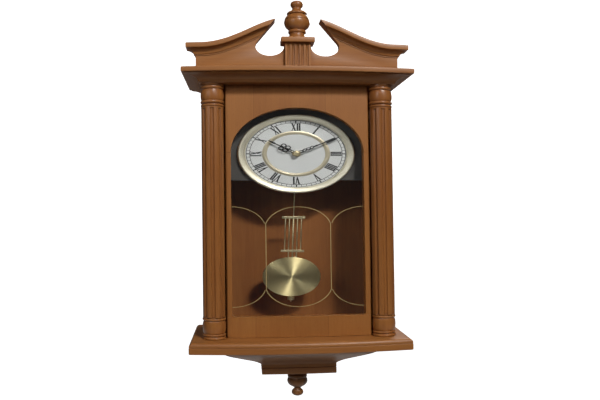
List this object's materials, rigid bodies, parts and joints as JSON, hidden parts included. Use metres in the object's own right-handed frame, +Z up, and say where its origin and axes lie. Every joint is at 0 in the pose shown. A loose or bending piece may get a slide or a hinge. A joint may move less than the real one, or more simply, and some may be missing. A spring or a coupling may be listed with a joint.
{
  "type": "pendulum wall clock",
  "caption": "Wooden pendulum wall clock with a swan-neck pediment, turned columns, a hinged arched glass door, a round dial and a swinging gridiron pendulum.",
  "frame": {"origin": "the middle of the back panel's rear face, on the wall plane", "axes": "+X right as seen from the front, +Y into the wall, +Z up"},
  "size_m": [0.3028, 0.1452, 0.8021],
  "materials": {
    "case_wood": "satin honey-brown lacquer over straight-grained veneer",
    "back_board": "matt reddish-brown board",
    "dial_board_black": "matt charcoal paint",
    "dial_white": "matt off-white print",
    "gilt": "pale satin gilt",
    "brass": "spun and lacquered",
    "steel": "bright zinc",
    "black_plastic": "fine moulded grain",
    "black_metal": "satin black",
    "battery_sleeve": "printed sleeve, no lettering",
    "glass": "clear float glass"
  },
  "bodies": {
    "case": {"side_panel_left": "case_wood", "side_panel_right": "case_wood", "front_frame": "case_wood", "hanging_rail": "case_wood", "base_moulding": "case_wood", "crown_moulding": "case_wood", "cornice_board": "case_wood", "column_left": "case_wood", "column_right": "case_wood", "bracket_corbel": "case_wood", "bracket_block": "case_wood", "bottom_finial": "case_wood", "tympanum_left": "case_wood", "tympanum_right": "case_wood", "scroll_moulding_left": "case_wood", "scroll_moulding_right": "case_wood", "plinth": "case_wood", "plinth_cap": "case_wood", "top_finial": "case_wood", "back_panel": "back_board", "dial_board": "dial_board_black", "dial_plate": "dial_white", "chapter_ring": "gilt", "dial_bezel": "gilt", "movement_case": "black_plastic", "movement_bush": "brass", "bush_nut": "brass", "hinge_pin_bottom": "brass", "hinge_pin_top": "brass", "pendulum_pivot_pin": "steel", "keyhole_plate": "steel", "keyhole_plate_screw_left": "steel", "keyhole_plate_screw_right": "steel", "door_magnet": "steel", "battery_contact_negative": "steel", "battery_contact_positive": "steel", "battery": "battery_sleeve", "dial_board_screw_1": "steel", "dial_board_screw_2": "steel", "dial_board_screw_3": "steel", "dial_board_screw_4": "steel"},
    "door": {"door_top_rail": "case_wood", "door_bottom_rail": "case_wood", "door_stile_left": "case_wood", "door_stile_right": "case_wood", "door_glass": "glass", "glass_retainer": "case_wood", "door_strike_plate": "steel"},
    "minute_hand": {"minute_hand": "black_metal", "minute_arbor": "steel", "hand_cap_nut": "brass"},
    "hour_hand": {"hour_hand": "black_metal", "hour_pipe": "brass"},
    "set_knob": {"time_set_knob": "black_plastic"},
    "pendulum": {"pendulum_arm": "black_plastic", "pendulum_gridiron": "brass", "pendulum_bob": "brass"},
    "rating_nut": {"rating_nut": "brass"}
  },
  "joints": [
    {"name": "door_hinge", "type": "hinge", "parent": "case", "child": "door", "pos_m": [-0.0932, -0.1012, 0], "axis": [0, 0, -1], "range_deg": [0, 95]},
    {"name": "minute_spin", "type": "hinge", "parent": "case", "child": "minute_hand", "pos_m": [0, -0.08, 0.1055], "axis": [0, 1, 0], "continuous": true},
    {"name": "hour_spin", "type": "hinge", "parent": "case", "child": "hour_hand", "pos_m": [0, -0.08, 0.1055], "axis": [0, 1, 0], "continuous": true},
    {"name": "set_knob_spin", "type": "hinge", "parent": "case", "child": "set_knob", "pos_m": [0, -0.052, 0.1055], "axis": [0, 1, 0], "continuous": true},
    {"name": "pendulum_swing", "type": "hinge", "parent": "case", "child": "pendulum", "pos_m": [0, -0.06, 0.082], "axis": [0, 1, 0], "range_deg": [-5.8, 2.2]},
    {"name": "rating_nut_turn", "type": "hinge", "parent": "pendulum", "child": "rating_nut", "pos_m": [-0.00868, -0.06, -0.19416], "axis": [0.0314, 0, 0.9995], "continuous": true}
  ],
  "couplings": [
    {"joint": "minute_spin", "follows": "set_knob_spin", "ratio": 1},
    {"joint": "hour_spin", "follows": "set_knob_spin", "ratio": 0.083333}
  ]
}
